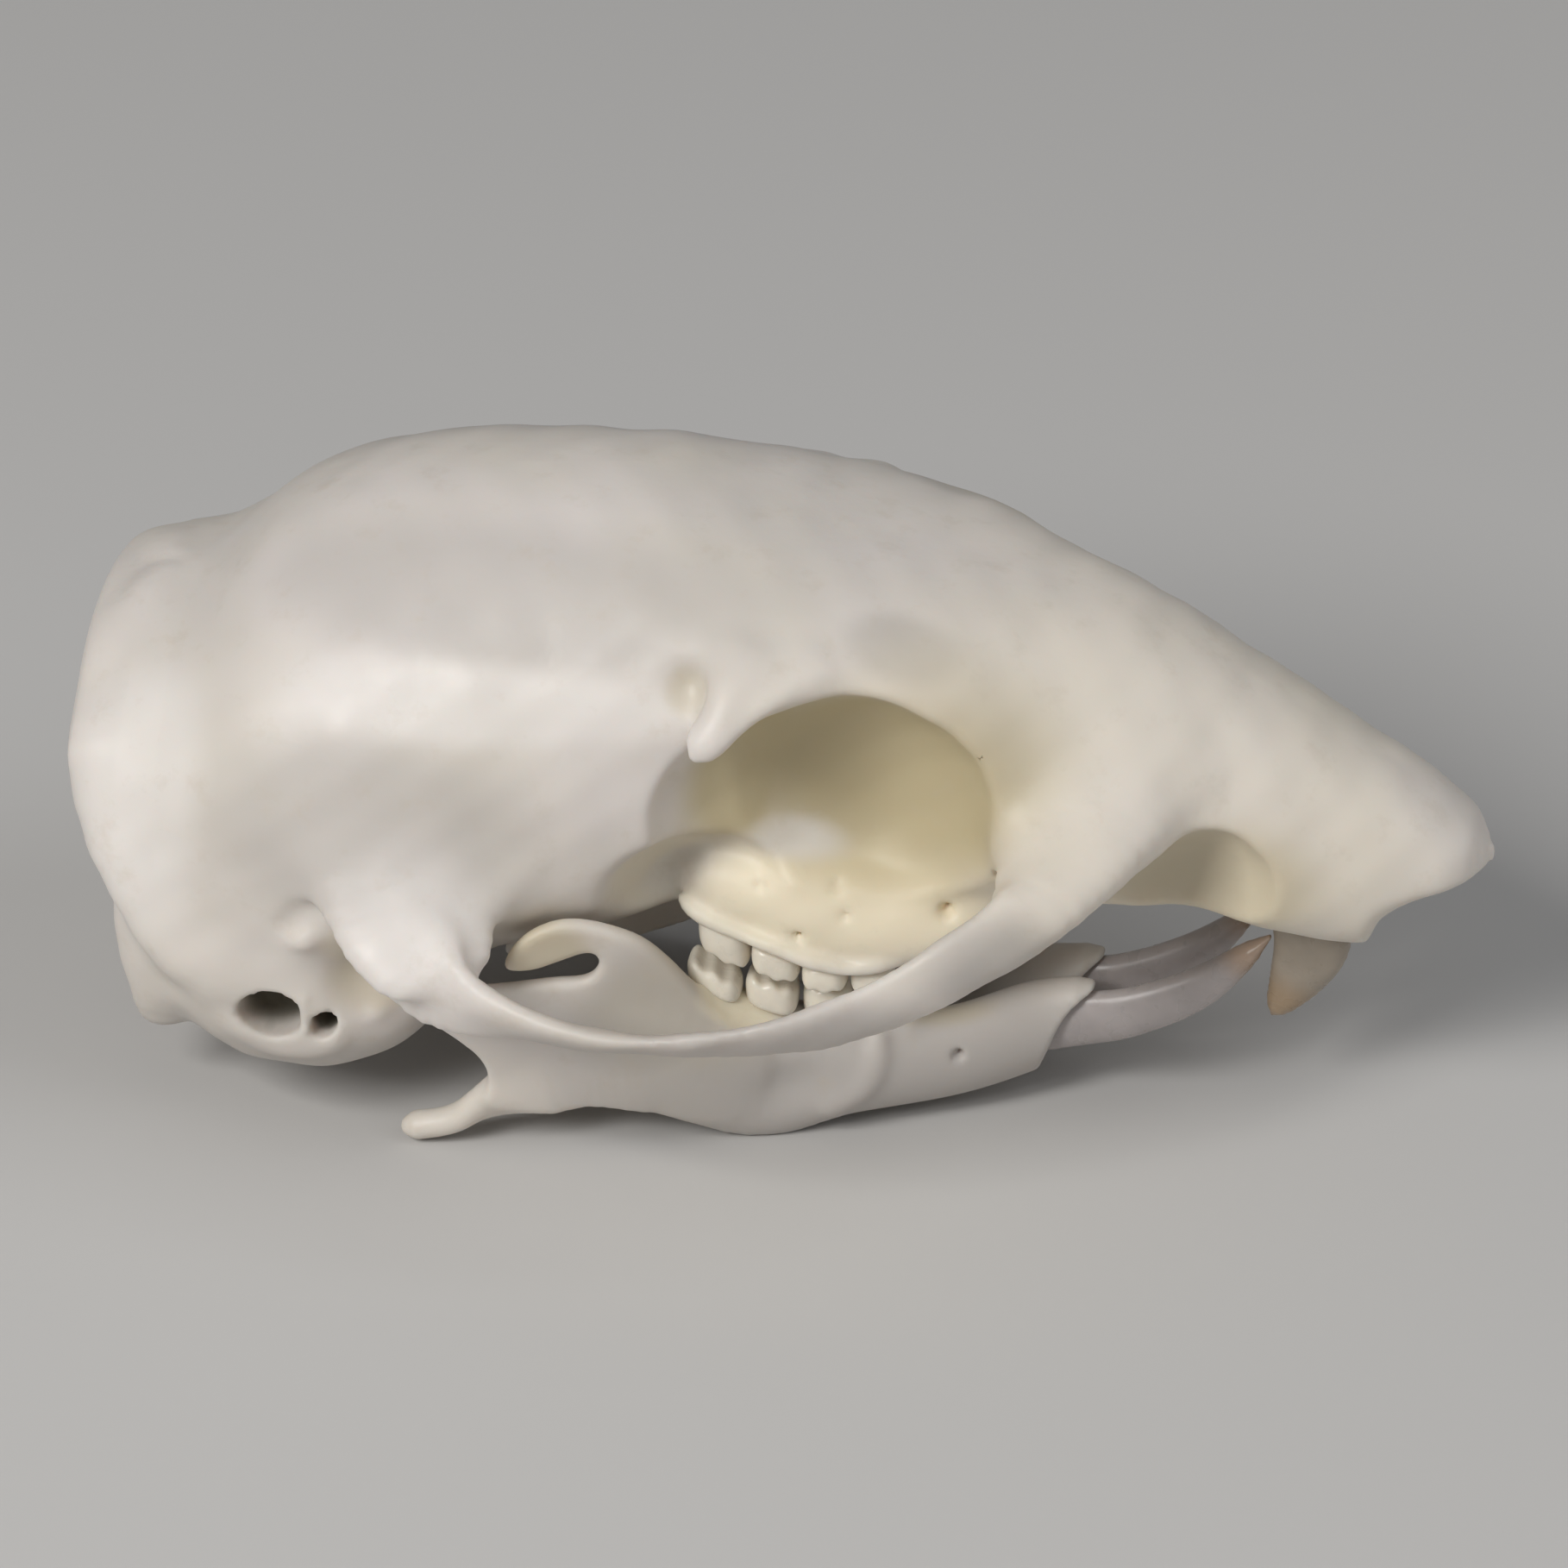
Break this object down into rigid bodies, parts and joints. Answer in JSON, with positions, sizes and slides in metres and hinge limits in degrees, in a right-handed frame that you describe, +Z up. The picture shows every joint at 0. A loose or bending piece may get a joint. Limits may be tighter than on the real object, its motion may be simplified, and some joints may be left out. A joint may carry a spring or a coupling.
{
  "type": "chipmunk skull",
  "caption": "Cleaned chipmunk skull with a domed hollow braincase, open eye sockets, slender cheekbones, the lower jaw in place and all its teeth.",
  "frame": {"origin": "on the table, under the middle of the skull's outer box", "axes": "+X from the back of the skull to the nose, +Y to the animal's left, +Z up from the table"},
  "size_m": [0.04, 0.024, 0.0186],
  "materials": {
    "bone": "satin",
    "incisor": "semi-gloss",
    "cheek_tooth": "satin"
  },
  "bodies": {
    "root": {"cranium": "bone", "right_dentary": "bone", "left_dentary": "bone", "right_upper_incisor": "incisor", "left_upper_incisor": "incisor", "right_lower_incisor": "incisor", "left_lower_incisor": "incisor", "right_upper_premolar": "cheek_tooth", "right_upper_first_molar": "cheek_tooth", "right_upper_second_molar": "cheek_tooth", "right_upper_third_molar": "cheek_tooth", "left_upper_premolar": "cheek_tooth", "left_upper_first_molar": "cheek_tooth", "left_upper_second_molar": "cheek_tooth", "left_upper_third_molar": "cheek_tooth", "right_lower_premolar": "cheek_tooth", "right_lower_first_molar": "cheek_tooth", "right_lower_second_molar": "cheek_tooth", "right_lower_third_molar": "cheek_tooth", "left_lower_premolar": "cheek_tooth", "left_lower_first_molar": "cheek_tooth", "left_lower_second_molar": "cheek_tooth", "left_lower_third_molar": "cheek_tooth"}
  },
  "joints": []
}
